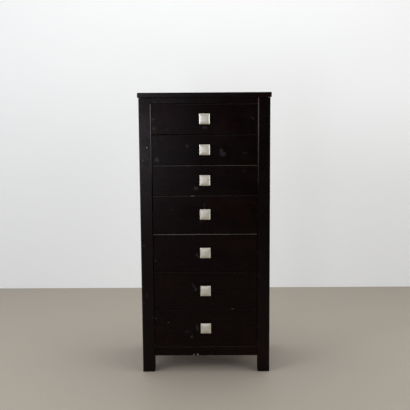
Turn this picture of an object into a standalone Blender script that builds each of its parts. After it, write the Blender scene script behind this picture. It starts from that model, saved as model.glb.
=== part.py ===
# Tallboy: a tall, narrow chest of seven drawers that stands on four square posts.
# Lengths are in metres and +Z is up. The front faces -Y. The origin lies on the floor, at the
# middle of the whole object's box, which reaches from the knobs' faces to the back of the top.
# Left and right are as seen from the front.

import math

import bmesh
import bpy
from mathutils import Vector

# Overall sizes
HEIGHT = 1.250
BODY_WIDTH = 0.570  # across the posts
BODY_DEPTH = 0.400  # from the front posts' faces to the rear posts' backs
TOP_THICKNESS = 0.022
TOP_OVERHANG = 0.005
POST_SIDE = 0.053
LEG_CLEARANCE = 0.075  # floor to the lower rails

# Rails, with a stub tenon at each end
RAIL_THICKNESS = 0.022
TOP_RAIL_HEIGHT = 0.025
BOTTOM_RAIL_HEIGHT = 0.040
FRAME_RAIL_HEIGHT = 0.040  # upper rails at the sides and the back
RAIL_RECESS = 0.003  # rails and drawers behind the posts' faces
TENON_LENGTH = 0.014
TENON_THICKNESS = 0.009
TENON_SHOULDER = 0.005

# Panels, held in grooves and rebates
SIDE_PANEL_THICKNESS = 0.009
SIDE_PANEL_RECESS = 0.008  # behind the posts' outer faces
SIDE_PANEL_TONGUE = 0.008
BACK_PANEL_THICKNESS = 0.005
BACK_PANEL_LAP = 0.008  # on each rear post

# Drawer fronts
UPPER_DRAWERS = 3
LOWER_DRAWERS = 4
UPPER_FRONT_HEIGHT = 0.130
FRONT_THICKNESS = 0.020
FRONT_GAP = 0.003  # above, below and between the fronts
FRONT_SIDE_GAP = 0.0025  # to the posts

# Drawer boxes
BOX_THICKNESS = 0.014  # of the two side boards
BOX_SETBACK = 0.0005  # side boards inside the front's ends
BOX_DROP = 0.020  # side boards below the front's upper edge
BOX_RISE = 0.010  # side boards above the front's lower edge
BOX_REAR_CLEARANCE = 0.010  # to the rear rails
LAP_DEPTH = 0.008  # side boards let into the front
BACK_THICKNESS = 0.012
BACK_INSET = 0.010  # from the side boards' rear ends
BACK_HOUSING = 0.004
BACK_DROP = 0.006  # below the side boards' upper edges
BOTTOM_THICKNESS = 0.005
BOTTOM_RISE = 0.008  # above the side boards' lower edges
BOTTOM_TONGUE = 0.005

# Wooden runners, which the grooves in the side boards ride on
RUNNER_HEIGHT = 0.018
RUNNER_REACH = 0.008  # from the posts' inner faces
UPRIGHT_WIDTH = 0.030
UPRIGHT_CLEARANCE = 0.005  # to the side rails
UPRIGHT_MARGIN = 0.010  # to the top and above the lower rails' undersides
RUNNER_HOUSING = 0.004  # of an upright left outside a runner's shoulder

# Square knobs and their machine screws
KNOB_SIDE = 0.0455
KNOB_REACH = 0.026  # from the drawer's face
KNOB_PLATE = 0.011
KNOB_BASE = 0.026
KNOB_NECK = 0.018
KNOB_EASE = 0.001
KNOB_BEVEL_WIDTH = 0.003
KNOB_BEVEL_DEPTH = 0.0015
KNOB_CROWN = 0.002  # how far the face's middle stands before its edges
KNOB_FLAT_SHARE = 0.25  # of the face that stays flat
CROWN_STEPS = 4
UPPER_KNOB_RISE = 0.002  # above the front's middle
LOWER_KNOB_RISE = 0.0045
SCREW_DIAMETER = 0.004
SCREW_HEAD_DIAMETER = 0.010
SCREW_HEAD_HEIGHT = 0.0022

# Eased edges and clearances
TOP_EASE = 0.0025
POST_EASE = 0.002
FRONT_EASE = 0.0015
BOARD_EASE = 0.0008
FIT = 0.0003  # between faces that touch
RUN = 0.001  # between faces that slide past each other
OVERRUN = 0.004  # of a cut past the face that it opens

# Places that follow from the sizes
FRONT_REACH = max(TOP_OVERHANG, KNOB_REACH - RAIL_RECESS)
FACE_Y = -(BODY_DEPTH + TOP_OVERHANG - FRONT_REACH) / 2
BACK_Y = FACE_Y + BODY_DEPTH
DRAWER_Y = FACE_Y + RAIL_RECESS
FRONT_POST_BACK_Y = FACE_Y + POST_SIDE
REAR_POST_FRONT_Y = BACK_Y - POST_SIDE
HALF_BODY = BODY_WIDTH / 2
HALF_OPENING = HALF_BODY - POST_SIDE
TOP_UNDERSIDE_Z = HEIGHT - TOP_THICKNESS
FRAME_TOP_Z = TOP_UNDERSIDE_Z - FIT
OPENING_TOP_Z = TOP_UNDERSIDE_Z - TOP_RAIL_HEIGHT
OPENING_BOTTOM_Z = LEG_CLEARANCE + BOTTOM_RAIL_HEIGHT
DRAWERS = UPPER_DRAWERS + LOWER_DRAWERS
LOWER_FRONT_HEIGHT = (
    OPENING_TOP_Z - OPENING_BOTTOM_Z - (DRAWERS + 1) * FRONT_GAP - UPPER_DRAWERS * UPPER_FRONT_HEIGHT
) / LOWER_DRAWERS

SIDE_RAIL_OUTER_X = HALF_BODY - RAIL_RECESS
SIDE_RAIL_INNER_X = SIDE_RAIL_OUTER_X - RAIL_THICKNESS
BACK_PANEL_FRONT_Y = BACK_Y - BACK_PANEL_THICKNESS
REAR_RAIL_BACK_Y = BACK_PANEL_FRONT_Y - FIT
REAR_RAIL_FRONT_Y = REAR_RAIL_BACK_Y - RAIL_THICKNESS

HALF_FRONT = HALF_OPENING - FRONT_SIDE_GAP
HALF_BOX = HALF_FRONT - BOX_SETBACK
HALF_BOX_INSIDE = HALF_BOX - BOX_THICKNESS
BOX_END_Y = REAR_RAIL_FRONT_Y - BOX_REAR_CLEARANCE - DRAWER_Y  # behind the drawer's face
BACK_END_Y = BOX_END_Y - BACK_INSET
RUNNER_TIP_X = HALF_OPENING - RUNNER_REACH

SIDES = {"left": -1, "right": 1}
ENDS = ("front", "rear")
SHARP_ANGLE = math.radians(40)  # between faces that are still shaded as one

FINISHES = {
    "stained_wood": ((0.016, 0.011, 0.011), 0.38, 0.0),
    "drawer_wood": ((0.56, 0.40, 0.24), 0.55, 0.0),
    "drawer_ply": ((0.60, 0.45, 0.28), 0.60, 0.0),
    "runner_wood": ((0.48, 0.34, 0.20), 0.60, 0.0),
    "back_board": ((0.060, 0.040, 0.030), 0.70, 0.0),
    "brushed_nickel": ((0.62, 0.60, 0.56), 0.34, 1.0),
}


def clear_scene():
    for thing in list(bpy.data.objects):
        bpy.data.objects.remove(thing, do_unlink=True)


def finish(name):
    """The material of that name, made the first time that it is asked for."""
    made = bpy.data.materials.get(name)
    if made:
        return made
    colour, roughness, metallic = FINISHES[name]
    made = bpy.data.materials.new(name)
    made.use_nodes = True
    shader = made.node_tree.nodes["Principled BSDF"]
    shader.inputs["Base Color"].default_value = (*colour, 1.0)
    shader.inputs["Roughness"].default_value = roughness
    shader.inputs["Metallic"].default_value = metallic
    return made


def add_object(name, mesh, parent=None, location=(0, 0, 0)):
    thing = bpy.data.objects.new(name, mesh)
    bpy.context.scene.collection.objects.link(thing)
    thing.parent = parent
    thing.location = location
    return thing


def as_helper(thing):
    """Marks a shape that only cuts or joins another, and is no piece itself."""
    thing.hide_render = True
    thing.display_type = "WIRE"
    return thing


def mesh_of(name, bm, finish_name=None):
    bmesh.ops.recalc_face_normals(bm, faces=bm.faces)
    mesh = bpy.data.meshes.new(name)
    bm.to_mesh(mesh)
    bm.free()
    if finish_name:
        mesh.materials.append(finish(finish_name))
    return mesh


def box(name, spans, finish_name=None, ease=0, segments=1, parent=None):
    """A box between three spans, each a pair of places along X, Y and Z, with its edges eased."""
    lows = Vector([min(span) for span in spans])
    highs = Vector([max(span) for span in spans])
    bm = bmesh.new()
    bmesh.ops.create_cube(bm, size=1)
    bmesh.ops.scale(bm, vec=highs - lows, verts=bm.verts)
    thing = add_object(name, mesh_of(name, bm, finish_name), parent, (lows + highs) / 2)
    if ease:
        bevel = thing.modifiers.new("eased edges", "BEVEL")
        bevel.width = ease
        bevel.segments = segments
    return thing


def grown(spans, by):
    """The spans with the same room added at every face."""
    return [(min(span) - by, max(span) + by) for span in spans]


def cutter(name, spans, parent=None):
    return as_helper(box(name, spans, parent=parent))


def combine(operation, target, others):
    for other in others:
        boolean = target.modifiers.new(operation.lower(), "BOOLEAN")
        boolean.operation = operation
        boolean.object = other


def cut(target, *cutters):
    combine("DIFFERENCE", target, cutters)


def join(target, *others):
    combine("UNION", target, others)


def add_rail(name, spans, along):
    """A rail whose spans lie between its posts. along is the axis that it runs on: 0 or 1.
    Returns the rail and the cutter for its two mortises."""
    rail = box(name, spans, "stained_wood", BOARD_EASE)
    across = 1 - along
    middle = sum(spans[across]) / 2
    tenon = [None, None, (min(spans[2]) + TENON_SHOULDER, max(spans[2]) - TENON_SHOULDER)]
    tenon[along] = (min(spans[along]) - TENON_LENGTH, max(spans[along]) + TENON_LENGTH)
    tenon[across] = (middle - TENON_THICKNESS / 2, middle + TENON_THICKNESS / 2)
    join(rail, as_helper(box(f"{name}_tenons", tenon)))
    return rail, cutter(f"{name}_mortises", grown(tenon, FIT))


def add_cross_rails(posts):
    """The rails between left and right posts, at the front and the back."""
    across = (-HALF_OPENING + FIT, HALF_OPENING - FIT)
    front = (DRAWER_Y, DRAWER_Y + RAIL_THICKNESS)
    rear = (REAR_RAIL_FRONT_Y, REAR_RAIL_BACK_Y)
    bottom = (LEG_CLEARANCE, OPENING_BOTTOM_Z)
    places = (
        ("front_top_rail", "front", front, (OPENING_TOP_Z, FRAME_TOP_Z)),
        ("front_bottom_rail", "front", front, bottom),
        ("rear_top_rail", "rear", rear, (FRAME_TOP_Z - FRAME_RAIL_HEIGHT, FRAME_TOP_Z)),
        ("rear_bottom_rail", "rear", rear, bottom),
    )
    for name, end, ys, zs in places:
        _, mortises = add_rail(name, [across, ys, zs], along=0)
        for side in SIDES:
            cut(posts[side, end], mortises)


def add_side(side, posts):
    """One side: its panel, and the rails above and below it."""
    sign = SIDES[side]
    xs = (sign * SIDE_RAIL_INNER_X, sign * SIDE_RAIL_OUTER_X)
    ys = (FRONT_POST_BACK_Y + FIT, REAR_POST_FRONT_Y - FIT)
    top_rail_z = (FRAME_TOP_Z - FRAME_RAIL_HEIGHT, FRAME_TOP_Z)
    bottom_rail_z = (LEG_CLEARANCE, OPENING_BOTTOM_Z)
    panel_outer_x = HALF_BODY - SIDE_PANEL_RECESS
    panel = [
        (sign * (panel_outer_x - SIDE_PANEL_THICKNESS), sign * panel_outer_x),
        (FRONT_POST_BACK_Y - SIDE_PANEL_TONGUE, REAR_POST_FRONT_Y + SIDE_PANEL_TONGUE),
        (bottom_rail_z[1] - SIDE_PANEL_TONGUE, top_rail_z[0] + SIDE_PANEL_TONGUE),
    ]
    box(f"side_panel_{side}", panel, "stained_wood")
    grooves = cutter(f"side_panel_{side}_grooves", grown(panel, FIT))
    for level, zs in (("top", top_rail_z), ("bottom", bottom_rail_z)):
        rail, mortises = add_rail(f"side_{level}_rail_{side}", [xs, ys, zs], along=1)
        cut(rail, grooves)
        for end in ENDS:
            cut(posts[side, end], mortises)
    for end in ENDS:
        cut(posts[side, end], grooves)


def add_post(side, end):
    sign = SIDES[side]
    ys = (FACE_Y, FRONT_POST_BACK_Y) if end == "front" else (REAR_POST_FRONT_Y, BACK_Y)
    spans = [(sign * HALF_OPENING, sign * HALF_BODY), ys, (0, FRAME_TOP_Z)]
    return box(f"post_{end}_{side}", spans, "stained_wood", POST_EASE, segments=2)


def add_back_panel(posts):
    """A thin board in the rear posts' rebates, flush with their backs and over the rear rails."""
    half = HALF_OPENING + BACK_PANEL_LAP
    zs = (LEG_CLEARANCE, FRAME_TOP_Z)
    box("back_panel", [(-half, half), (BACK_PANEL_FRONT_Y, BACK_Y), zs], "back_board")
    rebate = [
        (-half - FIT, half + FIT),
        (BACK_PANEL_FRONT_Y - FIT, BACK_Y + OVERRUN),
        (LEG_CLEARANCE - FIT, FRAME_TOP_Z + OVERRUN),
    ]
    rebates = cutter("back_panel_rebates", rebate)
    for side in SIDES:
        cut(posts[side, "rear"], rebates)


def add_top():
    half = HALF_BODY + TOP_OVERHANG
    ys = (FACE_Y - TOP_OVERHANG, BACK_Y + TOP_OVERHANG)
    box("top_panel", [(-half, half), ys, (TOP_UNDERSIDE_Z, HEIGHT)], "stained_wood", TOP_EASE, segments=3)


def runner_span(drawer):
    """The height of the two runners of a drawer, above its front's lower edge."""
    middle = (BOX_RISE + drawer["height"] - BOX_DROP) / 2
    return middle - RUNNER_HEIGHT / 2, middle + RUNNER_HEIGHT / 2


def add_runner(name, sign, drawer, outer_x, front_y, rear_y):
    """A runner that joins the two uprights and reaches past them, thinner, along both posts."""
    low, high = runner_span(drawer)
    tip = sign * RUNNER_TIP_X
    tongue = sign * (HALF_OPENING - FIT)
    outer = sign * outer_x
    ends = DRAWER_Y + FRONT_THICKNESS + FIT, DRAWER_Y + BOX_END_Y
    outline = (
        (tip, ends[0]),
        (tip, ends[1]),
        (tongue, ends[1]),
        (tongue, rear_y),
        (outer, rear_y),
        (outer, front_y),
        (tongue, front_y),
        (tongue, ends[0]),
    )
    bm = bmesh.new()
    face = bm.faces.new([bm.verts.new((x, y, 0)) for x, y in outline])
    lifted = bmesh.ops.extrude_face_region(bm, geom=[face])["geom"]
    raised = [v for v in lifted if isinstance(v, bmesh.types.BMVert)]
    bmesh.ops.translate(bm, vec=(0, 0, high - low), verts=raised)
    return as_helper(add_object(name, mesh_of(name, bm), location=(0, 0, drawer["z"] + low)))


def add_runner_frame(side, drawers):
    """The ladder that carries one side of every drawer: two uprights and a runner for each."""
    sign = SIDES[side]
    upright_outer_x = SIDE_RAIL_INNER_X - UPRIGHT_CLEARANCE
    xs = (sign * HALF_OPENING, sign * upright_outer_x)
    zs = (LEG_CLEARANCE + UPRIGHT_MARGIN, FRAME_TOP_Z - UPRIGHT_MARGIN)
    front_y = FRONT_POST_BACK_Y + FIT
    rear_y = REAR_POST_FRONT_Y - FIT
    name = f"runner_frame_{side}"
    frame = box(name, [xs, (front_y, front_y + UPRIGHT_WIDTH), zs], "runner_wood")
    for drawer in drawers:
        runner = add_runner(
            f"{name}_{drawer['name']}",
            sign,
            drawer,
            upright_outer_x - RUNNER_HOUSING,
            front_y + RUNNER_HOUSING,
            rear_y - RUNNER_HOUSING,
        )
        join(frame, runner)
    join(frame, as_helper(box(f"{name}_rear_upright", [xs, (rear_y - UPRIGHT_WIDTH, rear_y), zs])))


def lofted(name, rings, finish_name=None):
    """A closed shape through rings of points, capped at its two ends."""
    bm = bmesh.new()
    loops = [[bm.verts.new(point) for point in ring] for ring in rings]
    count = len(rings[0])
    for one, other in zip(loops, loops[1:]):
        for i in range(count):
            j = (i + 1) % count
            bm.faces.new((one[i], one[j], other[j], other[i]))
    bm.faces.new(loops[0])
    bm.faces.new(loops[-1])
    mesh = mesh_of(name, bm, finish_name)
    mesh.shade_smooth()
    mesh.set_sharp_from_angle(angle=SHARP_ANGLE)
    return mesh


def square_ring(half, y):
    return [(-half, y, -half), (half, y, -half), (half, y, half), (-half, y, half)]


def round_ring(radius, y, count=12):
    turns = [2 * math.pi * i / count for i in range(count)]
    return [(radius * math.cos(turn), y, radius * math.sin(turn)) for turn in turns]


def knob_mesh():
    """The square knob, outwards from the drawer's face: base, waisted neck, plate with a bevelled
    rim, and a cushioned face."""
    half = KNOB_SIDE / 2
    plate_y = KNOB_PLATE - KNOB_REACH
    face_half = half - KNOB_BEVEL_WIDTH
    face_y = KNOB_CROWN - KNOB_REACH
    rings = [
        square_ring(KNOB_BASE / 2, -FIT),
        square_ring(KNOB_BASE / 2, -FIT - KNOB_EASE),
        square_ring(KNOB_NECK / 2, plate_y / 2),
        square_ring(KNOB_BASE / 2, plate_y),
        square_ring(half - KNOB_EASE, plate_y),
        square_ring(half, plate_y - KNOB_EASE),
        square_ring(half, face_y + KNOB_BEVEL_DEPTH),
        square_ring(face_half, face_y),
    ]
    for step in range(1, CROWN_STEPS + 1):
        share = 1 - step / CROWN_STEPS
        size = face_half * (KNOB_FLAT_SHARE + (1 - KNOB_FLAT_SHARE) * share)
        rings.append(square_ring(size, KNOB_CROWN * share**2 - KNOB_REACH))
    return lofted("knob", rings, "brushed_nickel")


def screw_mesh():
    """The machine screw, from inside the knob's plate to its head behind the drawer front."""
    head_y = FRONT_THICKNESS + FIT
    stud = SCREW_DIAMETER / 2
    head = SCREW_HEAD_DIAMETER / 2
    rings = [
        round_ring(stud, KNOB_PLATE / 2 - KNOB_REACH),
        round_ring(stud, head_y),
        round_ring(head, head_y),
        round_ring(head, head_y + SCREW_HEAD_HEIGHT / 2),
        round_ring(stud, head_y + SCREW_HEAD_HEIGHT),
    ]
    return lofted("screw", rings)


def hole_mesh():
    """The hole through a drawer front for its knob's screw."""
    radius = SCREW_DIAMETER / 2 + RUN / 2
    rings = [round_ring(radius, -OVERRUN), round_ring(radius, FRONT_THICKNESS + OVERRUN)]
    return lofted("screw_hole", rings)


def drawer_plan():
    """The name, lower edge and front height of each drawer, and its knob's height over that edge,
    numbered from the top."""
    plan = []
    top = OPENING_TOP_Z - FRONT_GAP
    for number in range(1, DRAWERS + 1):
        upper = number <= UPPER_DRAWERS
        height = UPPER_FRONT_HEIGHT if upper else LOWER_FRONT_HEIGHT
        knob_z = height / 2 + (UPPER_KNOB_RISE if upper else LOWER_KNOB_RISE)
        plan.append({"name": f"drawer_{number}", "z": top - height, "height": height, "knob_z": knob_z})
        top -= height + FRONT_GAP
    return plan


def add_drawer(drawer, shapes):
    """One drawer, modelled about its own origin: the middle of its face, at its lower edge.
    Its empty lies there and slides along -Y."""
    name = drawer["name"]
    height = drawer["height"]
    carrier = add_object(name, None, location=(0, DRAWER_Y, drawer["z"]))

    board_z = (BOX_RISE, height - BOX_DROP)
    bottom_z = BOX_RISE + BOTTOM_RISE
    half_bottom = HALF_BOX_INSIDE + BOTTOM_TONGUE
    half_back = HALF_BOX_INSIDE + BACK_HOUSING
    bottom = [
        (-half_bottom, half_bottom),
        (FRONT_THICKNESS - BOTTOM_TONGUE, BACK_END_Y),
        (bottom_z, bottom_z + BOTTOM_THICKNESS),
    ]
    back = [
        (-half_back, half_back),
        (BACK_END_Y - BACK_THICKNESS, BACK_END_Y),
        (bottom_z + BOTTOM_THICKNESS + FIT, board_z[1] - BACK_DROP),
    ]
    box(f"{name}_bottom", bottom, "drawer_ply", parent=carrier)
    box(f"{name}_back", back, "drawer_wood", BOARD_EASE, parent=carrier)

    # The bottom slides in from the rear, so its grooves run out through the side boards' ends.
    bottom_groove = grown(bottom, FIT)
    bottom_groove[1] = (bottom_groove[1][0], BOX_END_Y + OVERRUN)
    bottom_grooves = cutter(f"{name}_bottom_grooves", bottom_groove, carrier)
    back_housings = cutter(f"{name}_back_housings", grown(back, FIT), carrier)

    spans = [(-HALF_FRONT, HALF_FRONT), (0, FRONT_THICKNESS), (0, height)]
    front = box(f"{name}_front", spans, "stained_wood", FRONT_EASE, 2, carrier)
    hole = as_helper(add_object(f"{name}_screw_hole", shapes["hole"], carrier))
    hole.location.z = drawer["knob_z"]
    cut(front, bottom_grooves, hole)

    low, high = runner_span(drawer)
    for side, sign in SIDES.items():
        board = [
            (sign * HALF_BOX_INSIDE, sign * HALF_BOX),
            (FRONT_THICKNESS - LAP_DEPTH, BOX_END_Y),
            board_z,
        ]
        runner_groove = [
            (sign * (RUNNER_TIP_X - RUN), sign * (HALF_BOX + OVERRUN)),
            (FRONT_THICKNESS, BOX_END_Y + OVERRUN),
            (low - RUN, high + FIT),
        ]
        lap = grown(board, FIT)
        lap[0] = (sign * (HALF_BOX_INSIDE - FIT), sign * (HALF_FRONT + OVERRUN))
        side_board = box(f"{name}_side_{side}", board, "drawer_wood", BOARD_EASE, parent=carrier)
        groove = cutter(f"{name}_runner_groove_{side}", runner_groove, carrier)
        cut(side_board, groove, bottom_grooves, back_housings)
        cut(front, cutter(f"{name}_lap_{side}", lap, carrier))

    knob = add_object(f"{name}_knob", shapes["knob"], carrier, (0, 0, drawer["knob_z"]))
    screw = as_helper(add_object(f"{name}_knob_screw", shapes["screw"], carrier, knob.location))
    join(knob, screw)


def build():
    clear_scene()
    drawers = drawer_plan()
    posts = {(side, end): add_post(side, end) for side in SIDES for end in ENDS}
    add_top()
    add_cross_rails(posts)
    add_back_panel(posts)
    for side in SIDES:
        add_side(side, posts)
        add_runner_frame(side, drawers)
    shapes = {"knob": knob_mesh(), "screw": screw_mesh(), "hole": hole_mesh()}
    for drawer in drawers:
        add_drawer(drawer, shapes)


build()
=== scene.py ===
"""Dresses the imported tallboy: stained, lacquered wood with its wear, brushed metal knobs, the pale
wood of the drawer boxes, a plain studio, and the camera at the photograph's place.

Lengths are in metres, in the frame of the CAD: the front faces -Y and the feet stand at z = 0.
"""
import math

import bmesh
import bpy
from mathutils import Matrix, Vector


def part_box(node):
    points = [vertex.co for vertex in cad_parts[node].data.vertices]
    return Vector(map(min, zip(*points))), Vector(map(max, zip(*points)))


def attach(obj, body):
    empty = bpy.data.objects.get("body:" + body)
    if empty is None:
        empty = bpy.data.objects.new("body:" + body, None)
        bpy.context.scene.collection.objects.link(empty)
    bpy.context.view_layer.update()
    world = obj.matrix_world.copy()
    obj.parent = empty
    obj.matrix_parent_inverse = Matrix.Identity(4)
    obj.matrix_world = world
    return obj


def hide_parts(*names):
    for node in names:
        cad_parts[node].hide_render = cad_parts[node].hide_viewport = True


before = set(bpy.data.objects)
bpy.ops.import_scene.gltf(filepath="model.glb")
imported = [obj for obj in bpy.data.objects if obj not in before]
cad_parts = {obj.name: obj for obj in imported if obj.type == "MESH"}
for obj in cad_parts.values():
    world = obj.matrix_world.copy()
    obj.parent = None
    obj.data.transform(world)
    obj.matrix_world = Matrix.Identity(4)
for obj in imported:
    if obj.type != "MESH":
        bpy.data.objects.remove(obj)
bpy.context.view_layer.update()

# Sizes that repeat those of the part
DRAWERS = range(1, 8)
DRAWER_FACE = -0.188
FRONT_THICKNESS = 0.020
KNOB_SIDE = 0.0455
KNOB_REACH = 0.026
KNOB_PLATE = 0.011
KNOB_FOOT = 0.026
KNOB_WAIST = 0.018
KNOB_BEVEL_WIDTH = 0.003
KNOB_BEVEL_DEPTH = 0.0015
KNOB_CROWN = 0.002
KNOB_FLAT_SHARE = 0.25
SCREW_HEAD = 0.010
SCREW_HEAD_HEIGHT = 0.0022
FIT = 0.0003

# Finer sizes of the knob and of its screw's head, which are the scene's own
KNOB_CORNER = 0.0016
KNOB_EASE = 0.0006
KNOB_FOOT_EDGE = 0.0016
NECK_STEPS = 8
NECK_CURVE = 0.8
CROWN_STEPS = 8
SCREW_RIM = 0.0004
SCREW_FOOT_SHARE = 0.96
SCREW_TOP_SHARE = 0.66
DOME_STEPS = 6
RECESS_ARM_SHARE = 0.5
RECESS_SLOT_SHARE = 0.13
RECESS_TAPER_SHARE = 0.55
RECESS_DEPTH = 0.0011
SHARP_ANGLE = math.radians(35)

# The photograph's camera: its picture is 410 pixels square
PICTURE_WIDTH = 410
FOCAL_PIXELS = 780
SENSOR = 36.0
CAMERA_PLACE = (0.0326, -3.5793, 1.2366)
CAMERA_YAW = math.radians(-0.556)
CAMERA_DOWN = math.radians(7.994)
CAMERA_ROLL = math.radians(-0.403)


def tone(red, green, blue):
    """A colour as it reads on screen, 0 to 255, turned into the linear numbers that shaders take."""
    linear = []
    for value in (red, green, blue):
        share = value / 255
        linear.append(share / 12.92 if share <= 0.04045 else ((share + 0.055) / 1.055) ** 2.4)
    return (*linear, 1.0)


# Node helpers

# A face begins to count as turned one way at the first number, and counts fully at the second
NEARLY_SQUARE = (0.95, 0.99)
# Most of a noise lies between these
MOST_OF_NOISE = (0.3, 0.7)


def put(tree, kind, values=None, **settings):
    """Adds a shader node. A socket among the values is linked, and any other value is set."""
    node = tree.nodes.new("ShaderNode" + kind)
    for name, setting in settings.items():
        setattr(node, name, setting)
    for name, value in (values or {}).items():
        if isinstance(value, bpy.types.NodeSocket):
            tree.links.new(value, node.inputs[name])
        else:
            node.inputs[name].default_value = value
    return node


def calc(tree, operation, *values, clamp=False):
    """A sum, product or the like of numbers and sockets."""
    node = put(tree, "Math", dict(enumerate(values)), operation=operation, use_clamp=clamp)
    return node.outputs[0]


def vector_calc(tree, operation, *values):
    """The same for vectors. A length comes out as a number."""
    node = put(tree, "VectorMath", dict(enumerate(values)), operation=operation)
    return node.outputs["Value" if operation == "LENGTH" else "Vector"]


def spread(tree, value, low, high, to_low=0.0, to_high=1.0, smooth=True):
    """Maps value from low..high to to_low..to_high, held at both ends."""
    values = {"Value": value, 1: low, 2: high, 3: to_low, 4: to_high}
    kind = "SMOOTHSTEP" if smooth else "LINEAR"
    return put(tree, "MapRange", values, interpolation_type=kind).outputs["Result"]


def blend(tree, share, one, other):
    """One colour at share 0 and the other at share 1."""
    return put(tree, "Mix", {0: share, 6: one, 7: other}, data_type="RGBA").outputs[2]


def noise(tree, space, scale, detail=3.0, rough=0.55, twist=0.0):
    """Cloudy noise from 0 to 1, with this many features per unit of space."""
    values = {"Vector": space, "Scale": scale, "Detail": detail, "Roughness": rough, "Distortion": twist}
    return put(tree, "TexNoise", values).outputs["Fac"]


def own_numbers(tree, name):
    """Three numbers that each object holds under this name."""
    return put(tree, "Attribute", attribute_type="OBJECT", attribute_name=name).outputs["Vector"]


def place_on_object(tree):
    """The place in metres from the object's own origin."""
    return put(tree, "TexCoord").outputs["Object"]


def facing(tree, axis):
    """How far the surface faces along X, Y or Z, from -1 to 1."""
    return put(tree, "SeparateXYZ", {0: put(tree, "NewGeometry").outputs["Normal"]}).outputs[axis]


def duller(tree, gloss, turned, amount):
    """Rougher by this amount where turned, a number that facing gives, is close to 1."""
    return calc(tree, "ADD", gloss, spread(tree, turned, *NEARLY_SQUARE, 0.0, amount))


def along_grain(tree, axis):
    """Places turned so that the first number runs along the grain, and shifted for each board."""
    parts = put(tree, "SeparateXYZ", {0: place_on_object(tree)}).outputs
    order = {"x": (0, 1, 2), "y": (1, 2, 0), "z": (2, 0, 1)}[axis]
    turned = put(tree, "CombineXYZ", {i: parts[o] for i, o in enumerate(order)}).outputs[0]
    return vector_calc(tree, "ADD", turned, own_numbers(tree, "board_shift"))


def streaks(tree, grain, along, across, detail=3.0, twist=0.0):
    """Noise drawn out along the grain. Both numbers are features per metre."""
    stretched = vector_calc(tree, "MULTIPLY", grain, (along, across, across))
    return noise(tree, stretched, 1.0, detail=detail, twist=twist)


def edge_distance(tree):
    """Metres from the nearest edge of the board's own box."""
    place = place_on_object(tree)
    from_low = vector_calc(tree, "SUBTRACT", place, own_numbers(tree, "box_low"))
    from_high = vector_calc(tree, "SUBTRACT", own_numbers(tree, "box_high"), place)
    nearest = vector_calc(tree, "MINIMUM", from_low, from_high)
    a, b, c = put(tree, "SeparateXYZ", {0: nearest}).outputs
    return calc(
        tree, "MAXIMUM",
        calc(tree, "MINIMUM", a, b),
        calc(tree, "MINIMUM", calc(tree, "MAXIMUM", a, b), c),
    )


def empty_material(name):
    """A new material and its empty node tree."""
    material = bpy.data.materials.new(name)
    material.use_nodes = True
    material.node_tree.nodes.clear()
    return material, material.node_tree


def surface(tree, values):
    """Ends the material in one shader with these values."""
    shader = put(tree, "BsdfPrincipled", values)
    put(tree, "OutputMaterial", {"Surface": shader.outputs[0]})


def bump(tree, height, distance, under=None):
    """Relief of full strength, this many metres deep, over the relief that lies under it."""
    values = {"Strength": 1.0, "Distance": distance, "Height": height}
    if under is not None:
        values["Normal"] = under
    return put(tree, "Bump", values).outputs[0]


# Marks in the finish, each an oval on the front, seen from ahead

# How far a mark reaches in from the drawers' faces, and out from them
MARK_DEPTH = 0.006


class Mark:
    """An oval mark: its middle (x, z), its half length and half width, its turn in degrees, how
    strong it is in the middle, and the share of it that fades out."""

    def __init__(self, x, z, length, width, turn=0.0, strength=1.0, soft=0.6):
        self.middle = (x, z)
        self.halves = (length, width)
        self.turn = math.radians(turn)
        self.strength = strength
        self.soft = soft

    def cover(self, tree, ragged):
        """How much of the mark lies on each point, with a ragged border."""
        x, z = self.middle
        length, width = self.halves
        values = {
            "Vector": place_on_object(tree),
            "Location": (x, DRAWER_FACE, z),
            "Rotation": (0.0, -self.turn, 0.0),
            "Scale": (length, MARK_DEPTH, width),
        }
        local = put(tree, "Mapping", values, vector_type="TEXTURE").outputs[0]
        away = calc(tree, "ADD", vector_calc(tree, "LENGTH", local), ragged)
        return spread(tree, away, 1.0 - self.soft, 1.0, self.strength, 0.0)


def cover_of(tree, marks, ragged):
    """All the marks together, as one number from 0 to 1."""
    total = 0.0
    for mark in marks:
        total = calc(tree, "MAXIMUM", total, mark.cover(tree, ragged))
    return total


# What the photograph shows on each board: pale chips, greyish smudges and thin scratches. The grey
# smudges on the upper left, on the left post and the upper drawers, also paint the sheen that falls
# there
CHIPS = {
    "post_front_left": [
        Mark(-0.2514, 1.0132, 0.0036, 0.0032, strength=0.75, soft=0.5),
        Mark(-0.2700, 0.9580, 0.0060, 0.0070, strength=0.09),
        Mark(-0.2390, 0.2531, 0.0028, 0.0022, strength=0.10),
    ],
    "drawer_4_front": [Mark(-0.0540, 0.8003, 0.0120, 0.0018, 6, 0.22)],
    "drawer_7_front": [
        Mark(-0.2255, 0.2470, 0.0036, 0.0022, 30, 0.12),
        Mark(-0.1674, 0.2288, 0.0036, 0.0022, 30, 0.14),
        Mark(-0.0652, 0.1600, 0.0090, 0.0020, -60, 0.10),
    ],
    "drawer_6_front": [Mark(0.1194, 0.2905, 0.0070, 0.0014, 4, 0.24)],
    "front_bottom_rail": [
        Mark(-0.0540, 0.0795, 0.0038, 0.0028, 40, 0.45),
        Mark(-0.0375, 0.0795, 0.0038, 0.0028, -40, 0.6),
    ],
}
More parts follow.
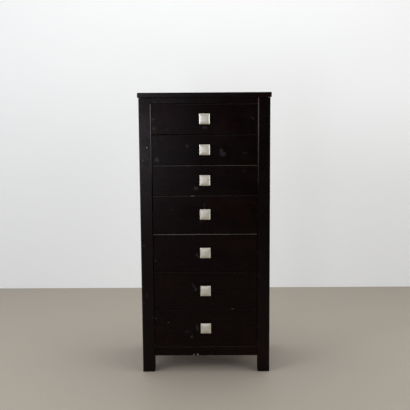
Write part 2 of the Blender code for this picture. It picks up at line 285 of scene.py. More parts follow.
# Grey smudges; on the upper left they also stand for painted sheen
SMUDGES_AND_SHEEN = {
    "post_front_left": [
        Mark(-0.2735, 1.0520, 0.0070, 0.0150, 0, 0.6),
        Mark(-0.2740, 0.9310, 0.0110, 0.0160, 0, 0.75),
        Mark(-0.2704, 0.5801, 0.0160, 0.0050, 0, 0.35),
        Mark(-0.2640, 0.3540, 0.0190, 0.0060, 50, 0.25),
        Mark(-0.2760, 0.3200, 0.0050, 0.0130, 0, 0.3),
    ],
    "post_front_right": [Mark(0.2350, 0.4435, 0.0050, 0.0080, 0, 0.3)],
    "drawer_1_front": [
        Mark(0.0010, 1.0990, 0.0160, 0.0070, 0, 0.42),
        Mark(-0.2200, 1.0960, 0.0080, 0.0080, 0, 0.95),
        Mark(-0.2215, 1.1352, 0.0080, 0.0060, 0, 0.75),
        Mark(-0.1627, 1.0908, 0.0140, 0.0050, 0, 0.25),
        Mark(0.2080, 1.1380, 0.0160, 0.0040, -35, 0.28),
    ],
    "drawer_2_front": [
        Mark(0.0782, 0.9840, 0.0190, 0.0160, 0, 0.65, 0.9),
        Mark(0.0720, 0.9990, 0.0110, 0.0120, 0, 0.5),
        Mark(-0.0760, 1.0184, 0.0070, 0.0100, 0, 0.45),
        Mark(-0.2085, 0.9600, 0.0130, 0.0120, 0, 0.8),
        Mark(0.1740, 0.9876, 0.0160, 0.0050, 0, 0.15),
    ],
    "drawer_3_front": [
        Mark(-0.0400, 0.8350, 0.0130, 0.0100, 0, 0.55),
        Mark(0.1740, 0.9091, 0.0130, 0.0090, 0, 0.09),
    ],
    "drawer_4_front": [
        Mark(-0.0025, 0.7590, 0.0040, 0.0130, 0, 0.35),
        Mark(-0.0228, 0.6862, 0.0100, 0.0050, 0, 0.15),
        Mark(-0.1469, 0.7390, 0.0130, 0.0050, 0, 0.11),
    ],
    "drawer_5_front": [
        Mark(-0.0365, 0.5345, 0.0070, 0.0140, 12, 0.45),
        Mark(-0.2210, 0.5130, 0.0090, 0.0060, 0, 0.25),
    ],
    "drawer_6_front": [
        Mark(-0.0530, 0.3960, 0.0050, 0.0180, 28, 0.40),
        Mark(-0.0435, 0.3800, 0.0100, 0.0080, 0, 0.55),
    ],
    "drawer_7_front": [
        Mark(-0.0385, 0.2030, 0.0070, 0.0190, 10, 0.60),
        Mark(-0.0600, 0.1680, 0.0040, 0.0160, 12, 0.25),
        Mark(-0.0830, 0.1858, 0.0180, 0.0080, 20, 0.15),
    ],
}
SCRATCHES = {
    "drawer_6_front": [
        Mark(0.0500, 0.2945, 0.0700, 0.0010, 1, 0.25),
        Mark(0.0900, 0.2970, 0.0500, 0.0009, 3, 0.25),
        Mark(0.1194, 0.2905, 0.0220, 0.0012, 1, 0.5),
    ],
    "drawer_7_front": [Mark(-0.1400, 0.2180, 0.0200, 0.0006, -18, 0.3)],
    "drawer_2_front": [Mark(0.0400, 0.9720, 0.0250, 0.0005, 8, 0.3)],
}

# How strong the pale highlight painted on the upper arris of a board is, at its left end and at its
# right end
ARRIS_HIGHLIGHT = {
    "drawer_1_front": (0.14, 0.20),
    "drawer_2_front": (0.05, 0.13),
    "drawer_3_front": (0.56, 0.44),
    "drawer_4_front": (0.30, 0.08),
    "drawer_5_front": (1.00, 0.56),
    "drawer_6_front": (0.04, 0.01),
    "drawer_7_front": (0.02, 0.02),
    "front_bottom_rail": (0.03, 0.03),
}
# The same painted highlight on the inner arris of a front post: the side it is on, the heights
# between which it grows from nothing to its full strength, that strength, and the height where it ends
POST_HIGHLIGHT = {
    "post_front_left": (1, 0.82, 1.18, 0.54, 1.203),
    "post_front_right": (-1, 0.80, 1.10, 0.38, 1.228),
}
# How wide the painted highlight is on an upper arris, and on the inner arris of a post
FRONT_ARRIS_WIDTH = 0.0008
POST_ARRIS_WIDTH = 0.0028
# How deep the painted highlight on an arris reaches in from the board's face
ARRIS_DEPTH = 0.0014
# The edge behind an upper arris gets this much more of the painted highlight. An edge counts fully as
# far as the first number of EDGE_FADE below it and no longer beyond the second, and the highlight
# reaches in as deep as the depth that follows.
EDGE_HIGHLIGHT = 0.06
EDGE_FADE = (0.0002, 0.0006)
EDGE_HIGHLIGHT_DEPTH = 0.016
# The painted highlight on a post fades out over this height
END_FADE = 0.002

# Stained, lacquered wood
STAIN_DEEP = tone(7, 3, 2)
STAIN_WARM = tone(13, 5, 4)
STAIN_RED = tone(18, 5, 4)
PORE_DARK = tone(2, 1, 1)
WORN_WOOD = tone(34, 24, 19)
# The pale colour of the highlights painted on the arrises
HIGHLIGHT_PALE = tone(122, 116, 111)
CHIP_PALE = tone(196, 186, 176)
# Grey of the smudges, which on the upper left is also painted sheen
SMUDGE_AND_SHEEN_GREY = tone(54, 50, 52)
# How much the lacquer reflects: on upright boards POST_SHEEN, on the two boards at the head of the
# part HEAD_SHEEN, and on all others FRONT_SHEEN
FRONT_SHEEN = 0.075
POST_SHEEN = 0.108
HEAD_SHEEN = {"top_panel": 0.15, "front_top_rail": 0.125}
# How much the board's figure, its rings and its fibres add to the depth of the stain, and the
# range of that depth over which the colour goes from deep to warm
FIGURE_SHARE = 0.45
RING_SHARE = 0.35
FIBRE_SHARE = 0.20
STAIN_RANGE = (0.38, 0.64)
# Where the noise of the pores and of the reddish clouds begins to show, and where it shows fully
STAINED_PORES = (0.60, 0.72)
RED_CLOUDS = (0.5, 0.72)
RED_STRENGTH = 0.75
PORE_STRENGTH = 0.6
# How far the border of a mark wanders, as a share of the mark
RAGGEDNESS = 0.9
# Painted arris highlights, and smudges with their painted sheen, are weaker in patches: over this range
# of a noise their strength goes from WEAKEST_PATCH to the strongest, one for highlights and one for
# smudges
PATCH_RANGE = (0.25, 0.6)
WEAKEST_PATCH = 0.7
STRONGEST_HIGHLIGHT = 1.1
STRONGEST_SMUDGE_AND_SHEEN = 1.0
# The lacquer's least and greatest roughness, and what pores and marks add to it
LACQUER_ROUGHNESS = (0.22, 0.30)
PORE_DULLNESS = 0.08
MARK_DULLNESS = 0.25
# The inner faces of the front posts, beside the drawers, were never polished, and the upper face
# of the slab is dulled by use
INNER_DULLNESS = 0.5
TOP_DULLNESS = 0.25
# How much the pores sink into the fibres, and how deep the lacquer's surface goes: the fibres under
# it, its sprayed texture and its long waves
STAINED_PORE_SINK = -0.6
FIBRE_RELIEF = 0.00003
SPRAY_RELIEF = 0.00002
WAVE_RELIEF = 0.0002
# Every edge of a board is a little worn. The wear's border runs as far in as noise times
# WEAR_WANDER, less WEAR_BACK, and fades from WEAR_STRENGTH to nothing beyond it.
WEAR_WANDER = 0.0042
WEAR_BACK = 0.0018
WEAR_FADE = (0.0002, 0.0011)
WEAR_STRENGTH = 0.4


def patchy(tree, patches, strongest):
    """How strongly a painted arris highlight, or a smudge with its painted sheen, shows from place to
    place.
    """
    return spread(tree, patches, *PATCH_RANGE, WEAKEST_PATCH, strongest)


def arris_highlight(tree, to_edge, depth, width, amount, behind):
    """A highlight painted pale on an arris by this amount over this width, and on the edge behind it.
    to_edge is the way to the edge over the board's face, and depth the way in from that face."""
    arris = calc(
        tree, "MULTIPLY",
        spread(tree, to_edge, width, 1.4 * width, 1.0, 0.0),
        spread(tree, depth, ARRIS_DEPTH, 1.5 * ARRIS_DEPTH, 1.0, 0.0),
    )
    edge = calc(
        tree, "MULTIPLY",
        spread(tree, to_edge, *EDGE_FADE, 1.0, 0.0),
        spread(tree, depth, 0.3 * EDGE_HIGHLIGHT_DEPTH, EDGE_HIGHLIGHT_DEPTH, 1.0, 0.0),
    )
    return calc(
        tree, "MAXIMUM",
        calc(tree, "MULTIPLY", arris, amount),
        calc(tree, "MULTIPLY", edge, calc(tree, "ADD", amount, behind)),
    )


def arris_highlight_top(tree, board, place):
    """The painted highlight on the upper arris of a board at the front, as strong as its table says."""
    low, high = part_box(board)
    x, y, z = put(tree, "SeparateXYZ", {0: place}).outputs
    along = spread(tree, x, low.x, high.x, *ARRIS_HIGHLIGHT[board], smooth=False)
    to_edge = calc(tree, "SUBTRACT", high.z, z)
    depth = calc(tree, "SUBTRACT", y, low.y)
    return arris_highlight(tree, to_edge, depth, FRONT_ARRIS_WIDTH, along, EDGE_HIGHLIGHT)


def arris_highlight_side(tree, board, place):
    """The painted highlight on the inner arris of a front post, as strong as its table says."""
    side, none_below, full_above, strength, end = POST_HIGHLIGHT[board]
    low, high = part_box(board)
    x, y, z = put(tree, "SeparateXYZ", {0: place}).outputs
    inner = high.x if side > 0 else -low.x
    to_edge = calc(tree, "SUBTRACT", inner, calc(tree, "MULTIPLY", x, float(side)))
    along = calc(
        tree, "MULTIPLY",
        spread(tree, z, none_below, full_above, 0.0, strength),
        spread(tree, z, end - END_FADE, end, 1.0, 0.0),
    )
    depth = calc(tree, "SUBTRACT", y, low.y)
    return arris_highlight(tree, to_edge, depth, POST_ARRIS_WIDTH, along, 0.0)


def stained_wood(name, axis, board):
    """Near-black espresso stain under satin lacquer, with the marks of this board and the highlights
    painted on its arrises.
    """
    material, tree = empty_material(name)
    grain = along_grain(tree, axis)
    place = place_on_object(tree)

    figure = streaks(tree, grain, 1.1, 11, detail=3, twist=0.5)
    rings = streaks(tree, grain, 3.5, 120, detail=4, twist=0.2)
    fibres = streaks(tree, grain, 26, 1100, detail=2)
    pores = spread(tree, streaks(tree, grain, 60, 2200, detail=1), *STAINED_PORES)
    clouds = noise(tree, place, 4.5, detail=3)
    patches = noise(tree, place, 14, detail=5, rough=0.65)

    depth = calc(tree, "MULTIPLY_ADD", figure, FIGURE_SHARE, calc(tree, "MULTIPLY", rings, RING_SHARE))
    depth = calc(tree, "MULTIPLY_ADD", fibres, FIBRE_SHARE, depth)
    colour = blend(tree, spread(tree, depth, *STAIN_RANGE), STAIN_DEEP, STAIN_WARM)
    colour = blend(tree, spread(tree, clouds, *RED_CLOUDS, 0.0, RED_STRENGTH), colour, STAIN_RED)
    colour = blend(tree, calc(tree, "MULTIPLY", pores, PORE_STRENGTH), colour, PORE_DARK)

    ragged = noise(tree, place, 210, detail=3)
    ragged = calc(tree, "MULTIPLY_ADD", ragged, RAGGEDNESS, -RAGGEDNESS / 2)
    edge = edge_distance(tree)
    wander = noise(tree, place, 38, detail=4, rough=0.7)
    border = calc(tree, "MULTIPLY_ADD", wander, WEAR_WANDER, -WEAR_BACK)
    wear = spread(tree, calc(tree, "SUBTRACT", edge, border), *WEAR_FADE, WEAR_STRENGTH, 0.0)
    colour = blend(tree, wear, colour, WORN_WOOD)
    # Pale highlights painted on the upper arrises of the fronts and on the inner arrises of the front
    # posts
    for boards, highlight_of in ((ARRIS_HIGHLIGHT, arris_highlight_top), (POST_HIGHLIGHT, arris_highlight_side)):
        if board in boards:
            pale = highlight_of(tree, board, place)
            pale = calc(tree, "MULTIPLY", pale, patchy(tree, patches, STRONGEST_HIGHLIGHT), clamp=True)
            colour = blend(tree, pale, colour, HIGHLIGHT_PALE)

    # Grey smudges, which on the upper left paint the sheen as well
    smudge_and_sheen = cover_of(tree, SMUDGES_AND_SHEEN.get(board, []), ragged)
    if SMUDGES_AND_SHEEN.get(board):
        smudge_and_sheen = calc(tree, "MULTIPLY", smudge_and_sheen, patchy(tree, patches, STRONGEST_SMUDGE_AND_SHEEN))
        colour = blend(tree, smudge_and_sheen, colour, SMUDGE_AND_SHEEN_GREY)
    scratch = cover_of(tree, SCRATCHES.get(board, []), 0.0)
    if SCRATCHES.get(board):
        colour = blend(tree, scratch, colour, WORN_WOOD)
    chip = cover_of(tree, CHIPS.get(board, []), ragged)
    if CHIPS.get(board):
        colour = blend(tree, chip, colour, CHIP_PALE)

    gloss = spread(tree, patches, *MOST_OF_NOISE, *LACQUER_ROUGHNESS)
    gloss = calc(tree, "MULTIPLY_ADD", pores, PORE_DULLNESS, gloss)
    marks = calc(tree, "ADD", smudge_and_sheen, chip)
    gloss = calc(tree, "MULTIPLY_ADD", marks, MARK_DULLNESS, gloss, clamp=True)
    if board in POST_HIGHLIGHT:
        inwards = calc(tree, "MULTIPLY", facing(tree, "X"), float(POST_HIGHLIGHT[board][0]))
        gloss = duller(tree, gloss, inwards, INNER_DULLNESS)
    if board == "top_panel":
        gloss = duller(tree, gloss, facing(tree, "Z"), TOP_DULLNESS)

    relief = calc(tree, "MULTIPLY_ADD", pores, STAINED_PORE_SINK, fibres)
    normal = bump(tree, relief, FIBRE_RELIEF)
    normal = bump(tree, noise(tree, place, 330, detail=2), SPRAY_RELIEF, under=normal)
    normal = bump(tree, streaks(tree, grain, 2.5, 30, detail=2), WAVE_RELIEF, under=normal)
    surface(tree, {
        "Base Color": colour,
        "Roughness": gloss,
        "Specular IOR Level": HEAD_SHEEN.get(board, POST_SHEEN if axis == "z" else FRONT_SHEEN),
        "Normal": normal,
    })
    return material


# Bare wood inside, and the stained back board

DRAWER_WOOD_PALE = tone(214, 190, 154)
DRAWER_WOOD_DEEP = tone(184, 152, 112)
RUNNER_WOOD_PALE = tone(190, 160, 120)
RUNNER_WOOD_DEEP = tone(150, 116, 80)
PLY_PALE = tone(208, 184, 146)
PLY_DEEP = tone(178, 146, 106)
PLY_GLUE = tone(104, 74, 50)
BACK_DEEP = tone(30, 20, 17)
BACK_WARM = tone(46, 31, 25)
BACK_DULL = tone(24, 16, 14)
BACK_FIBRE = tone(58, 41, 33)
BACK_PORE = tone(12, 8, 7)
# The plywood's layers per metre: every other one is a dark glue line, which begins to show at the
# first number of GLUE_LINE and shows fully at the second
PLY_LAYERS = 600.0
GLUE_LINE = (0.35, 0.6)
# A face that is turned up or down by less than the first number is an edge of the plywood, and one
# that is turned by more than the second is not
PLY_EDGE = (0.3, 0.7)
# Where the noise of the pores begins to show, and where it shows fully
BARE_PORES = (0.60, 0.70)
# Pores and grime show the deep colour darkened to this share
PORE_SHADE = 0.45
# How much bare wood and the back board reflect
BARE_SHEEN = 0.4
BACK_SHEEN = 0.3
# How much the pores sink into the fibres, and how deep the fibres go on each kind of board
PORE_SINK = -0.8
BARE_RELIEF = 0.00006
BOARD_RELIEF = 0.00005


def wooden_surface(tree, colour, gloss, sheen, pores, fibres, relief):
    """Ends a material whose fibres stand up by this relief, with the pores sunk into them."""
    normal = bump(tree, calc(tree, "MULTIPLY_ADD", pores, PORE_SINK, fibres), relief)
    surface(tree, {
        "Base Color": colour,
        "Roughness": gloss,
        "Specular IOR Level": sheen,
        "Normal": normal,
    })


def bare_wood(name, axis, pale, deep, rough=0.55):
    """Sanded, unfinished or thinly sealed wood with growth rings, fibres and pores."""
    material, tree = empty_material(name)
    grain = along_grain(tree, axis)
    place = place_on_object(tree)
    rings = streaks(tree, grain, 1.4, 26, detail=3, twist=0.8)
    fine_rings = streaks(tree, grain, 3.0, 150, detail=3)
    fibres = streaks(tree, grain, 24, 1000, detail=2)
    pores = spread(tree, streaks(tree, grain, 45, 1700, detail=1), *BARE_PORES)
    bands = calc(tree, "PINGPONG", calc(tree, "MULTIPLY", rings, 7.0), 1.0)
    colour = blend(tree, spread(tree, bands, 0.1, 0.95, 0.0, 0.55), pale, deep)
    colour = blend(tree, spread(tree, fine_rings, 0.35, 0.7, 0.0, 0.35), colour, deep)
    colour = blend(tree, spread(tree, fibres, 0.4, 0.7, 0.0, 0.18), colour, deep)
    darker = tuple(value * PORE_SHADE for value in deep[:3]) + (1.0,)
    colour = blend(tree, calc(tree, "MULTIPLY", pores, 0.5), colour, darker)
    grime = spread(tree, noise(tree, place, 7, detail=5, rough=0.6), 0.5, 0.8, 0.0, 0.22)
    colour = blend(tree, grime, colour, darker)
    gloss = spread(tree, fibres, *MOST_OF_NOISE, rough - 0.06, rough + 0.08)
    wooden_surface(tree, colour, gloss, BARE_SHEEN, pores, fibres, BARE_RELIEF)
    return material


def ply(name, pale, deep, glue):
    """Thin plywood: a rotary-cut face with wide figure, and layers that show at its edges."""
    material, tree = empty_material(name)
    grain = along_grain(tree, "x")
    place = place_on_object(tree)
    figure = streaks(tree, grain, 2.2, 9, detail=3, twist=1.2)
    bands = calc(tree, "PINGPONG", calc(tree, "MULTIPLY", figure, 9.0), 1.0)
    fibres = streaks(tree, grain, 22, 900, detail=2)
    pores = spread(tree, streaks(tree, grain, 40, 1500, detail=1), *BARE_PORES)
    colour = blend(tree, spread(tree, bands, 0.15, 0.9, 0.0, 0.6), pale, deep)
    colour = blend(tree, spread(tree, fibres, 0.4, 0.7, 0.0, 0.2), colour, deep)
    colour = blend(tree, calc(tree, "MULTIPLY", pores, 0.45), colour, glue)
    from_low = vector_calc(tree, "SUBTRACT", place, own_numbers(tree, "box_low"))
    height = put(tree, "SeparateXYZ", {0: from_low}).outputs["Z"]
    layers = calc(tree, "PINGPONG", calc(tree, "MULTIPLY", height, PLY_LAYERS), 1.0)
    on_edge = spread(tree, calc(tree, "ABSOLUTE", facing(tree, "Z")), *PLY_EDGE, 1.0, 0.0)
    lines = calc(tree, "MULTIPLY", on_edge, spread(tree, layers, *GLUE_LINE))
    colour = blend(tree, lines, colour, glue)
    gloss = spread(tree, fibres, *MOST_OF_NOISE, 0.5, 0.64)
    wooden_surface(tree, colour, gloss, BARE_SHEEN, pores, fibres, BOARD_RELIEF)
    return material


def back_board(name):
    """Stained thin board with a dull, slightly mottled face."""
    material, tree = empty_material(name)
    grain = along_grain(tree, "z")
    place = place_on_object(tree)
    mottle = noise(tree, place, 9, detail=6, rough=0.65)
    fibres = streaks(tree, grain, 24, 700, detail=3)
    figure = streaks(tree, grain, 1.2, 14, detail=3, twist=0.8)
    pores = spread(tree, streaks(tree, grain, 42, 1500, detail=1), *BARE_PORES)
    colour = blend(tree, spread(tree, figure, 0.35, 0.65), BACK_DEEP, BACK_WARM)
    colour = blend(tree, spread(tree, mottle, 0.45, 0.75, 0.0, 0.5), colour, BACK_DULL)
    colour = blend(tree, spread(tree, fibres, 0.45, 0.7, 0.0, 0.4), colour, BACK_FIBRE)
    colour = blend(tree, calc(tree, "MULTIPLY", pores, 0.6), colour, BACK_PORE)
    gloss = spread(tree, mottle, *MOST_OF_NOISE, 0.5, 0.66)
    wooden_surface(tree, colour, gloss, BACK_SHEEN, pores, fibres, BOARD_RELIEF)
    return material


# Metal

NICKEL_DEEP = tone(202, 199, 185)
NICKEL_PALE = tone(229, 227, 213)
NICKEL_TOUCHED = tone(176, 170, 151)
ZINC_PALE = tone(214, 212, 206)
ZINC_DULL = tone(168, 160, 142)
# Brush strokes per metre across, in and up the knob, fine and coarse
FINE_BRUSH = (9000, 400, 260)
COARSE_BRUSH = (2200, 200, 60)
BRUSH_RELIEF = 0.000012
PLATING_RELIEF = 0.00002
# The least and the greatest roughness, and what touching adds to the nickel's
NICKEL_ROUGHNESS = (0.40, 0.50)
ZINC_ROUGHNESS = (0.26, 0.44)
TOUCH_DULLNESS = 0.08


def brushed_nickel():
    """Satin nickel, brushed up and down, a little duller where fingers meet it."""
    material, tree = empty_material("satin_nickel")
    place = vector_calc(tree, "ADD", place_on_object(tree), own_numbers(tree, "board_shift"))
    brush = noise(tree, vector_calc(tree, "MULTIPLY", place, FINE_BRUSH), 1.0, detail=3)
    coarse = noise(tree, vector_calc(tree, "MULTIPLY", place, COARSE_BRUSH), 1.0, detail=2)
    touch = noise(tree, place, 70, detail=4, rough=0.6)
    colour = blend(tree, spread(tree, brush, *MOST_OF_NOISE), NICKEL_DEEP, NICKEL_PALE)
    colour = blend(tree, spread(tree, touch, 0.52, 0.75, 0.0, 0.35), colour, NICKEL_TOUCHED)
    gloss = spread(tree, coarse, *MOST_OF_NOISE, *NICKEL_ROUGHNESS)
    gloss = calc(tree, "ADD", gloss, spread(tree, touch, 0.5, 0.8, 0.0, TOUCH_DULLNESS))
    normal = bump(tree, brush, BRUSH_RELIEF)
    surface(tree, {
        "Base Color": colour,
        "Metallic": 1.0,
        "Roughness": gloss,
        "Anisotropic": 0.3,
        "Normal": normal,
    })
    return material


def zinc_plate():
    """Bright, slightly blotched plating for the screws."""
    material, tree = empty_material("zinc_plate")
    place = vector_calc(tree, "ADD", place_on_object(tree), own_numbers(tree, "board_shift"))
    blotch = noise(tree, place, 900, detail=4)
    colour = blend(tree, spread(tree, blotch, 0.35, 0.7), ZINC_PALE, ZINC_DULL)
    gloss = spread(tree, blotch, *MOST_OF_NOISE, *ZINC_ROUGHNESS)
    normal = bump(tree, blotch, PLATING_RELIEF)
    surface(tree, {"Base Color": colour, "Metallic": 1.0, "Roughness": gloss, "Normal": normal})
    return material


# Meshes


def eased(points, ease, steps=3):
    """The same run of points, with each inner corner rounded over a length of ease on both sides."""
    run = [points[0]]
    for before, corner, after in zip(points, points[1:], points[2:]):
        before, corner, after = Vector(before), Vector(corner), Vector(after)
        back, ahead = before - corner, after - corner
        start = corner + back.normalized() * min(ease, back.length / 2)
        end = corner + ahead.normalized() * min(ease, ahead.length / 2)
        for step in range(steps + 1):
            t = step / steps
            run.append(start * (1 - t) ** 2 + corner * 2 * t * (1 - t) + end * t**2)
    run.append(points[-1])
    return [tuple(point) for point in run]


def square_ring(half, corner, y, steps=6):
    """A square ring with rounded corners, in the plane at y. Its sides never round away wholly."""
    corner = min(corner, half * 0.98)
    points = []
    for quarter in range(4):
        middle = math.pi / 4 + quarter * math.pi / 2
        reach = (half - corner) * math.sqrt(2)
        for step in range(steps + 1):
            turn = quarter * math.pi / 2 + step / steps * math.pi / 2
            x = reach * math.cos(middle) + corner * math.cos(turn)
            z = reach * math.sin(middle) + corner * math.sin(turn)
            points.append((x, y, z))
    return points


def round_ring(radius, y, count=32):
    """A round ring in the plane at y."""
    turns = [2 * math.pi * i / count for i in range(count)]
    return [(radius * math.cos(turn), y, radius * math.sin(turn)) for turn in turns]


def loft(bm, rings, cap_last=True):
    """Walls through rings of points of one count, with a face over the first ring and, where asked
    for, over the last."""
    loops = [[bm.verts.new(point) for point in ring] for ring in rings]
    for one, other in zip(loops, loops[1:]):
        for i in range(len(one)):
            j = (i + 1) % len(one)
            bm.faces.new((one[i], one[j], other[j], other[i]))
    bm.faces.new(loops[0])
    if cap_last:
        bm.faces.new(loops[-1])
    return loops


def mesh_of(name, bm):
    """The finished, smoothly shaded mesh of what was drawn in bm."""
    bmesh.ops.recalc_face_normals(bm, faces=bm.faces)
    mesh = bpy.data.meshes.new(name)
    bm.to_mesh(mesh)
    bm.free()
    mesh.shade_smooth()
    return mesh


def add_piece(name, mesh, material, place):
    """A piece with this mesh. Pieces that share a mesh share its material."""
    piece = bpy.data.objects.new(name, mesh)
    piece.location = place
    bpy.context.scene.collection.objects.link(piece)
    if not mesh.materials:
        mesh.materials.append(material)
    return piece


def knob_mesh():
    """The square knob, outwards from the drawer's face: foot, waisted neck, and a plate with a
    bevelled rim and a cushioned face, which turns rounder towards its middle."""
    half = KNOB_SIDE / 2
    plate_back = KNOB_PLATE - KNOB_REACH
    face_edge = KNOB_CROWN - KNOB_REACH
    rim = face_edge + KNOB_BEVEL_DEPTH
    face_half = half - KNOB_BEVEL_WIDTH
    outline = [(KNOB_FOOT / 2, -FIT), (KNOB_FOOT / 2, -KNOB_FOOT_EDGE)]
    for step in range(1, NECK_STEPS):
        share = step / NECK_STEPS
        waist = math.sin(math.pi * share) ** NECK_CURVE
        outline.append((
            (KNOB_FOOT + (KNOB_WAIST - KNOB_FOOT) * waist) / 2,
            -KNOB_FOOT_EDGE + (plate_back + KNOB_FOOT_EDGE) * share,
        ))
    outline += [(KNOB_FOOT / 2, plate_back), (half, plate_back), (half, rim), (face_half, face_edge)]
    for step in range(1, CROWN_STEPS + 1):
        share = 1 - step / CROWN_STEPS
        size = face_half * (KNOB_FLAT_SHARE + (1 - KNOB_FLAT_SHARE) * share)
        outline.append((size, KNOB_CROWN * share**2 - KNOB_REACH))
    rings = []
    for size, y in eased(outline, KNOB_EASE):
        share = size / face_half if y < face_edge else 1
        rings.append(square_ring(size, KNOB_CORNER + (1 - share) * size, y))
    bm = bmesh.new()
    loft(bm, rings)
    return mesh_of("knob", bm)


def screw_mesh():
    """The domed head of the machine screw behind the drawer's front, with a cross recess."""
    base = FRONT_THICKNESS + FIT
    top = base + SCREW_HEAD_HEIGHT
    radius = SCREW_HEAD / 2
    shoulder = [(radius * SCREW_FOOT_SHARE, base), (radius, base + SCREW_RIM)]
    for step in range(1, DOME_STEPS + 1):
        turn = step / DOME_STEPS * math.pi / 2
        shoulder.append((
            radius * (SCREW_TOP_SHARE + (1 - SCREW_TOP_SHARE) * math.cos(turn)),
            base + SCREW_RIM + (SCREW_HEAD_HEIGHT - SCREW_RIM) * math.sin(turn),
        ))
    bm = bmesh.new()
    loops = loft(bm, [round_ring(size, y) for size, y in shoulder], cap_last=False)
    arm, slot = radius * RECESS_ARM_SHARE, radius * RECESS_SLOT_SHARE
    taper = RECESS_TAPER_SHARE
    cross = [
        (arm, slot), (slot, slot), (slot, arm), (-slot, arm), (-slot, slot), (-arm, slot),
        (-arm, -slot), (-slot, -slot), (-slot, -arm), (slot, -arm), (slot, -slot), (arm, -slot),
    ]
    upper = [bm.verts.new((x, top, z)) for x, z in cross]
    lower = [bm.verts.new((x * taper, top - RECESS_DEPTH, z * taper)) for x, z in cross]
    border = []
    for loop in (loops[-1], upper):
        for i, corner in enumerate(loop):
            other = loop[(i + 1) % len(loop)]
            border.append(bm.edges.get((corner, other)) or bm.edges.new((corner, other)))
    bmesh.ops.triangle_fill(bm, edges=border, use_beauty=True)
    for i in range(len(cross)):
        j = (i + 1) % len(cross)
        bm.faces.new((upper[i], upper[j], lower[j], lower[i]))
    bm.faces.new(lower)
    mesh = mesh_of("screw", bm)
    mesh.set_sharp_from_angle(angle=SHARP_ANGLE)
    return mesh


def even_normals(piece):
    """Keeps flat faces flat where they meet narrow rounded edges."""
    piece.modifiers.new("even_normals", "WEIGHTED_NORMAL").keep_sharp = True


# Dressing the pieces

UPRIGHT = ("post_", "side_panel_", "back_panel")
FRONT_TO_BACK = ("side_top_rail_", "side_bottom_rail_", "runner_frame_")
# A board named in one of these gets a material of its own
MARKED = (SMUDGES_AND_SHEEN, CHIPS, SCRATCHES, ARRIS_HIGHLIGHT, POST_HIGHLIGHT, HEAD_SHEEN)
# From one piece to the next, its part of the noise moves on by these steps, within these spans
SHIFT_STEPS = (3.71, 1.93, 2.57)
SHIFT_SPANS = (17.0, 11.0, 13.0)
# The knobs are counted on from the CAD nodes
KNOBS_COUNTED_FROM = 60


def give_numbers(piece, count):
    """Shifts the noise on this piece, so that no two pieces look the same."""
    piece["board_shift"] = tuple(count * step % span for step, span in zip(SHIFT_STEPS, SHIFT_SPANS))


def grain_of(name):
    """The direction of a board's grain."""
    if name.startswith(UPRIGHT):
        return "z"
    if name.startswith(FRONT_TO_BACK) or name.endswith(("_side_left", "_side_right")):
        return "y"
    return "x"


def finish_of(slot, name, axis, own):
    """The material for a slot, or None for the metal slot, whose nodes the knobs replace. A board
    with marks of its own gets one of its own."""
    if slot == "stained_wood":
        return stained_wood(f"stained_{name if own else axis}", axis, name if own else "")
    if slot == "drawer_wood":
        return bare_wood(f"drawer_wood_{axis}", axis, DRAWER_WOOD_PALE, DRAWER_WOOD_DEEP)
    if slot == "runner_wood":
        return bare_wood("runner_wood_y", axis, RUNNER_WOOD_PALE, RUNNER_WOOD_DEEP, 0.6)
    if slot == "drawer_ply":
        return ply("drawer_ply_x", PLY_PALE, PLY_DEEP, PLY_GLUE)
    if slot == "back_board":
        return back_board("back_board_z")
    return None


def dress_frame():
    """Gives each carried-over CAD node its finish."""
    made = {}
    for count, (name, board) in enumerate(sorted(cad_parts.items())):
        give_numbers(board, count)
        low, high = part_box(name)
        board["box_low"] = tuple(low)
        board["box_high"] = tuple(high)
        slot = board.material_slots[0].material.name
        own = any(name in marked for marked in MARKED)
        key = (slot, name if own else grain_of(name))
        if key not in made:
            made[key] = finish_of(slot, name, grain_of(name), own)
        if made[key]:
            board.material_slots[0].material = made[key]


def add_knobs():
    """On each drawer a knob, and behind its front the head of the screw that holds it."""
    nickel = brushed_nickel()
    zinc = zinc_plate()
    knob_shape = knob_mesh()
    screw_shape = screw_mesh()
    for drawer in DRAWERS:
        node = f"drawer_{drawer}_knob"
        low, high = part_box(node)
        place = (0, DRAWER_FACE, (low.z + high.z) / 2)
        knob = add_piece(f"knob_{drawer}", knob_shape, nickel, place)
        screw = add_piece(f"screw_{drawer}", screw_shape, zinc, place)
        even_normals(knob)
        for piece in (knob, screw):
            give_numbers(piece, KNOBS_COUNTED_FROM + drawer)
            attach(piece, f"drawer_{drawer}")
            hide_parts(node)


# The studio

FLOOR_COLOUR = tone(153, 146, 135)
WALL_COLOUR = tone(234, 236, 237)
WORLD_COLOUR = tone(168, 169, 171)
FLAG_COLOUR = tone(40, 40, 42)
# The paint's mottle makes it this much lighter in places
MOTTLE_LIGHT = 1.03
PAINT_SHEEN = 0.2
# The floor and the wall reach this far to each side of the middle
FLOOR_HALF = 14.0
WALL_HALF = 5.0
WALL_HEIGHT = 4.5
WALL_Y = 1.37
FLAG_Y = -4.6
FLAG_LEFT = -1.6
FLAG_RIGHT = 2.6
FLAG_HEIGHT = 2.8
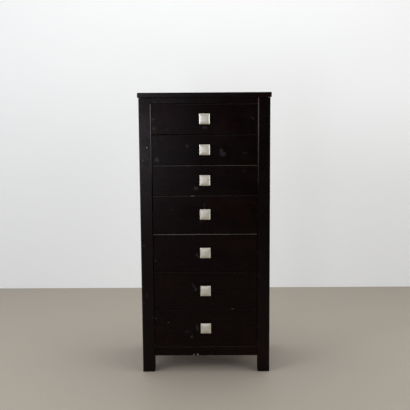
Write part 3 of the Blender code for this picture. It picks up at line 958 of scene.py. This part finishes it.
# Each lamp: its name, its place, its aim, its width and height, its watts and its colour
LAMPS = (
    ("window", (-0.90, -4.2, 0.80), (0, 0, 0.9), 0.5, 0.8, 15.8, (0.90, 0.86, 1.0)),
    ("left_front", (-2.3, -2.1, 1.8), (0, 0, 0.6), 1.2, 1.2, 36, (0.98, 0.98, 1.0)),
    ("left_side", (-3.0, -0.5, 1.25), (0, -0.2, 1.0), 1.6, 1.1, 14, (0.96, 0.98, 1.0)),
    ("right_side", (2.9, -0.5, 1.25), (0, -0.2, 1.0), 1.6, 1.1, 16, (1.0, 0.99, 0.97)),
    ("right_front", (2.9, -2.2, 1.6), (0, 0, 0.8), 1.8, 1.8, 36, (1.0, 0.98, 0.96)),
    ("ceiling", (0.0, 0.2, 3.3), (0, -0.5, 0), 3.2, 1.6, 55, (1.0, 0.99, 0.97)),
)


def plane(name, corners):
    """A four-cornered plane that belongs to the stage."""
    mesh = bpy.data.meshes.new(name)
    mesh.from_pydata(corners, [], [(0, 1, 2, 3)])
    mesh.update()
    thing = bpy.data.objects.new(name, mesh)
    bpy.context.scene.collection.objects.link(thing)
    return thing


def upright_plane(name, y, left, right, height):
    """A plane that stands on the floor and faces the front."""
    return plane(name, [(left, y, 0), (right, y, 0), (right, y, height), (left, y, height)])


def paint(name, colour, rough, one_sided=False):
    """Matt, very faintly mottled paint. The back of a one-sided plane is clear."""
    material, tree = empty_material(name)
    mottle = noise(tree, place_on_object(tree), 1.6, detail=2)
    lighter = tuple(min(1.0, value * MOTTLE_LIGHT) for value in colour[:3]) + (1.0,)
    shade = blend(tree, mottle, colour, lighter)
    values = {"Base Color": shade, "Roughness": rough, "Specular IOR Level": PAINT_SHEEN}
    out = put(tree, "BsdfPrincipled", values).outputs[0]
    if one_sided:
        behind = put(tree, "NewGeometry").outputs["Backfacing"]
        clear = put(tree, "BsdfTransparent").outputs[0]
        out = put(tree, "MixShader", {0: behind, 1: out, 2: clear}).outputs[0]
    put(tree, "OutputMaterial", {"Surface": out})
    return material


def add_room():
    """A plain floor, and a plain wall behind the part that can be looked through from its back."""
    half = FLOOR_HALF
    floor = plane("floor", [(-half, -half, 0), (half, -half, 0), (half, half, 0), (-half, half, 0)])
    floor.data.materials.append(paint("floor_paint", FLOOR_COLOUR, 0.6))
    wall = upright_plane("wall", WALL_Y, -WALL_HALF, WALL_HALF, WALL_HEIGHT)
    wall.data.materials.append(paint("wall_paint", WALL_COLOUR, 0.9, one_sided=True))


def add_flag():
    """A dark cloth behind the camera: the front mirrors it, as it mirrors an unlit room."""
    flag = upright_plane("flag", FLAG_Y, FLAG_LEFT, FLAG_RIGHT, FLAG_HEIGHT)
    material, tree = empty_material("flag_cloth")
    cloth = put(tree, "BsdfDiffuse", {"Color": FLAG_COLOUR}).outputs[0]
    put(tree, "OutputMaterial", {"Surface": cloth})
    flag.data.materials.append(material)
    flag.visible_camera = False
    flag.visible_diffuse = False
    flag.visible_shadow = False


def add_lamp(name, place, aim, width, height, watts, colour):
    """A soft oblong lamp at this place, turned towards its aim."""
    lamp = bpy.data.lights.new(name, "AREA")
    lamp.shape = "RECTANGLE"
    lamp.size, lamp.size_y = width, height
    lamp.energy = watts
    lamp.color = colour
    thing = bpy.data.objects.new(name, lamp)
    thing.location = place
    thing.rotation_euler = (Vector(aim) - Vector(place)).to_track_quat("-Z", "Y").to_euler()
    thing.visible_camera = False
    bpy.context.scene.collection.objects.link(thing)


def add_light():
    """The lamps around the part, and even light from all sides."""
    for lamp in LAMPS:
        add_lamp(*lamp)

    world = bpy.data.worlds.new("studio")
    world.use_nodes = True
    tree = world.node_tree
    tree.nodes.clear()
    pale = put(tree, "Background", {"Color": WORLD_COLOUR, "Strength": 1.0}).outputs[0]
    put(tree, "OutputWorld", {"Surface": pale})
    bpy.context.scene.world = world


def add_camera():
    """The camera at the photograph's place, turned as the photograph is."""
    forward = Vector((
        math.sin(CAMERA_YAW) * math.cos(CAMERA_DOWN),
        math.cos(CAMERA_YAW) * math.cos(CAMERA_DOWN),
        -math.sin(CAMERA_DOWN),
    ))
    level_right = Vector((math.cos(CAMERA_YAW), -math.sin(CAMERA_YAW), 0))
    level_up = level_right.cross(forward)
    right = math.cos(CAMERA_ROLL) * level_right + math.sin(CAMERA_ROLL) * level_up
    up = right.cross(forward)
    lens = bpy.data.cameras.new("camera")
    lens.sensor_width = SENSOR
    lens.lens = FOCAL_PIXELS / PICTURE_WIDTH * SENSOR
    camera = bpy.data.objects.new("camera", lens)
    turn = Matrix((right, up, -forward)).transposed()
    camera.matrix_world = Matrix.Translation(CAMERA_PLACE) @ turn.to_4x4()
    bpy.context.scene.collection.objects.link(camera)
    bpy.context.scene.camera = camera


add_camera()
add_room()
add_flag()
add_light()
dress_frame()
add_knobs()
bpy.context.scene.view_settings.view_transform = "Standard"
